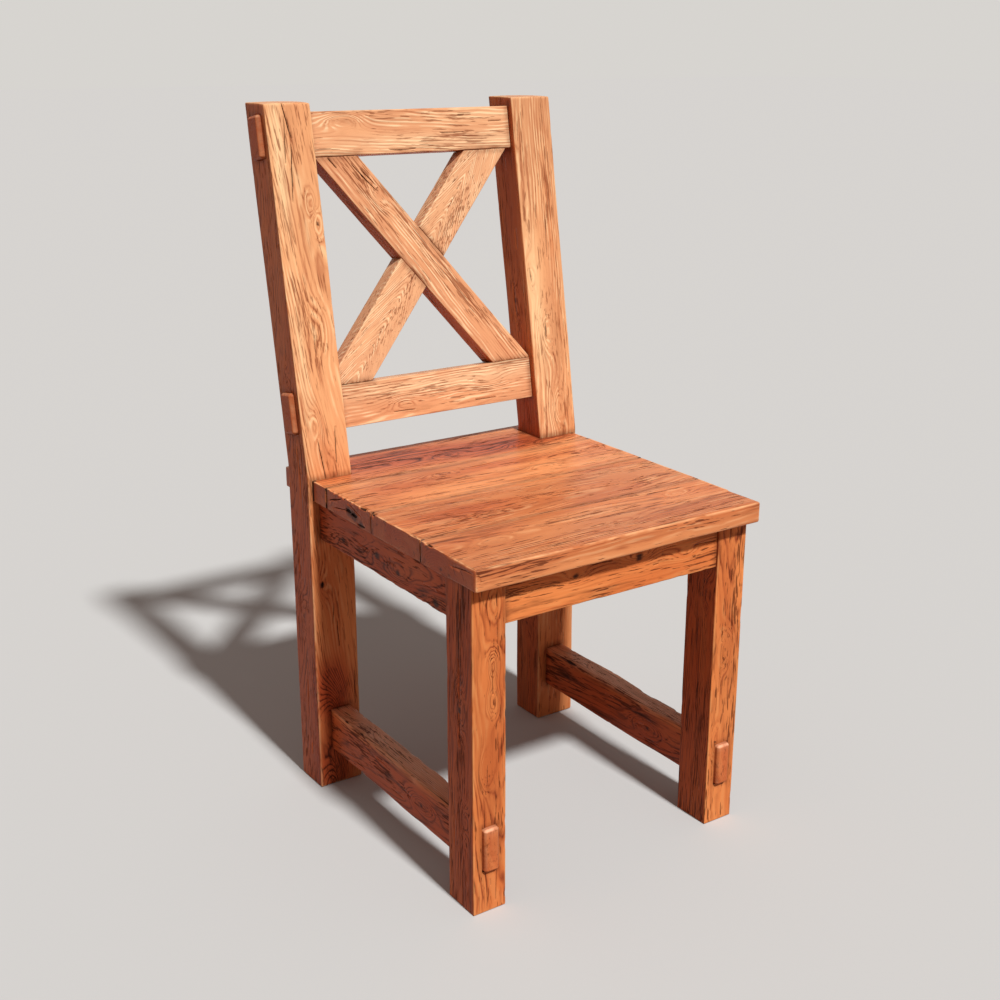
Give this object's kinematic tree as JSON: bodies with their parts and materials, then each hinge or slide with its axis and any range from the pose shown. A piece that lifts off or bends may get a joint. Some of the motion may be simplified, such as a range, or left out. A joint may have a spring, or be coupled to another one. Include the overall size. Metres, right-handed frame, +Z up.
{
  "type": "rustic wooden side chair",
  "caption": "Heavy wooden side chair with a plank seat, a leaning back with crossed braces, and through tenons; worn, checked and knotty but whole.",
  "frame": {"origin": "on the floor, in the middle of the whole chair's footprint", "axes": "+Z up, +Y from the front of the seat to the back, +X to the right as seen from the front"},
  "size_m": [0.449, 0.5248, 0.921],
  "materials": {
    "post_wood": "oiled, worn, with checks",
    "leg_wood": "oiled, worn, with checks",
    "back_wood": "oiled, raised grain",
    "seat_wood": "oiled, worn, chipped ends",
    "frame_wood": "oiled, knotty",
    "screw_steel": "dull zinc"
  },
  "bodies": {
    "root": {"rear_post_left": "post_wood", "rear_post_right": "post_wood", "front_leg_left": "leg_wood", "front_leg_right": "leg_wood", "top_rail": "back_wood", "lower_back_rail": "back_wood", "back_brace_full": "back_wood", "back_brace_lapped": "back_wood", "seat_board_front": "seat_wood", "seat_board_second": "seat_wood", "seat_board_third": "seat_wood", "seat_board_rear": "seat_wood", "front_apron": "frame_wood", "rear_apron": "frame_wood", "side_apron_left": "frame_wood", "side_apron_right": "frame_wood", "stretcher_left": "frame_wood", "stretcher_right": "frame_wood", "seat_cleat_left": "frame_wood", "seat_cleat_right": "frame_wood", "seat_screws": "screw_steel", "cleat_screws": "screw_steel"}
  },
  "joints": []
}
